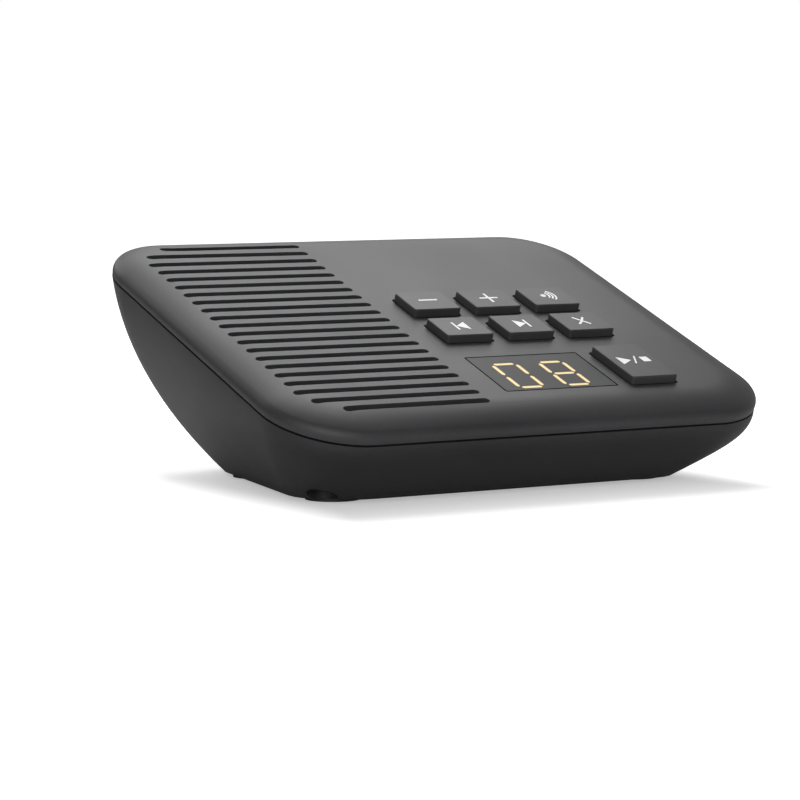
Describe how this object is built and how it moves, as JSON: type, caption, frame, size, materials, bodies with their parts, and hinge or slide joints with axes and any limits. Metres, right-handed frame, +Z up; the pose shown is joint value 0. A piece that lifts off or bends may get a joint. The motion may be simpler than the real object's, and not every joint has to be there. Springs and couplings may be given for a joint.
{
  "type": "answering machine",
  "caption": "Wedge-shaped desktop answering machine: slotted speaker grille, lit display window, sprung message keys, and line and power sockets at the back.",
  "frame": {"origin": "on the table, under the middle of the machine's bounding box", "axes": "+Z up, -Y towards the user at the low front edge, +X to the user's right; the top face slopes up towards +Y"},
  "size_m": [0.1306, 0.1022, 0.0545],
  "materials": {
    "cover_plastic": "charcoal moulded plastic, fine spark texture",
    "shell_plastic": "darker moulded plastic, fine texture",
    "key_plastic": "charcoal key caps with white symbols",
    "window_plastic": "smoked translucent plastic",
    "lit_bars": "lit amber bars",
    "black_plastic": "black moulded plastic",
    "foot_rubber": "grey rubber",
    "dome_rubber": "silicone rubber",
    "black_rubber": "black rubber",
    "circuit_board": "green solder mask",
    "zinc_steel": "zinc plated steel",
    "pressed_steel": "pressed steel",
    "ferrite": "ferrite",
    "cone_paper": "dark pressed paper",
    "black_cloth": "open woven cloth",
    "foam": "foam",
    "coil_copper": "wound copper wire",
    "chip_epoxy": "epoxy",
    "can_sleeve": "plastic sleeve over a metal can",
    "winding_tape": "yellow winding tape",
    "contact_gold": "gold plated wire",
    "lead_grey": "grey flat lead",
    "plug_white": "off-white nylon"
  },
  "bodies": {
    "case": {"top_cover": "cover_plastic", "lower_shell": "shell_plastic", "rubber_feet": "foot_rubber", "case_screws": "zinc_steel", "key_mat": "dome_rubber", "key_board": "circuit_board", "key_board_screws": "zinc_steel", "display_window": "window_plastic", "display_digits": "lit_bars", "display_module": "black_plastic", "speaker_cloth": "black_cloth", "speaker_gasket": "foam", "speaker_basket": "pressed_steel", "speaker_magnet": "ferrite", "speaker_yoke": "zinc_steel", "speaker_cone": "cone_paper", "speaker_coil": "coil_copper", "speaker_surround": "black_rubber", "speaker_dust_cap": "cone_paper", "speaker_washers": "zinc_steel", "speaker_screws": "zinc_steel", "microphone_boot": "black_rubber", "microphone": "pressed_steel", "main_board": "circuit_board", "main_board_screws": "zinc_steel", "processor_chip": "chip_epoxy", "memory_chip": "chip_epoxy", "line_transformer": "winding_tape", "capacitors": "can_sleeve", "line_socket": "black_plastic", "line_contacts": "contact_gold", "power_socket": "black_plastic", "power_pin": "zinc_steel", "key_board_plug": "plug_white", "board_lead": "lead_grey", "main_board_plug": "plug_white"},
    "minus_button": {"minus_key": "key_plastic"},
    "plus_button": {"plus_key": "key_plastic"},
    "paging_button": {"paging_key": "key_plastic"},
    "skip_back_button": {"skip_back_key": "key_plastic"},
    "skip_forward_button": {"skip_forward_key": "key_plastic"},
    "delete_button": {"delete_key": "key_plastic"},
    "play_stop_button": {"play_stop_key": "key_plastic"}
  },
  "joints": [
    {"name": "minus_press", "type": "slide", "parent": "case", "child": "minus_button", "axis": [0, 0.342, -0.9397], "range_m": [0, 0.001], "stiffness_N_per_m": 500, "springref_m": -0.001},
    {"name": "plus_press", "type": "slide", "parent": "case", "child": "plus_button", "axis": [0, 0.342, -0.9397], "range_m": [0, 0.001], "stiffness_N_per_m": 500, "springref_m": -0.001},
    {"name": "paging_press", "type": "slide", "parent": "case", "child": "paging_button", "axis": [0, 0.342, -0.9397], "range_m": [0, 0.001], "stiffness_N_per_m": 500, "springref_m": -0.001},
    {"name": "skip_back_press", "type": "slide", "parent": "case", "child": "skip_back_button", "axis": [0, 0.342, -0.9397], "range_m": [0, 0.001], "stiffness_N_per_m": 500, "springref_m": -0.001},
    {"name": "skip_forward_press", "type": "slide", "parent": "case", "child": "skip_forward_button", "axis": [0, 0.342, -0.9397], "range_m": [0, 0.001], "stiffness_N_per_m": 500, "springref_m": -0.001},
    {"name": "delete_press", "type": "slide", "parent": "case", "child": "delete_button", "axis": [0, 0.342, -0.9397], "range_m": [0, 0.001], "stiffness_N_per_m": 500, "springref_m": -0.001},
    {"name": "play_stop_press", "type": "slide", "parent": "case", "child": "play_stop_button", "axis": [0, 0.342, -0.9397], "range_m": [0, 0.001], "stiffness_N_per_m": 500, "springref_m": -0.001}
  ]
}
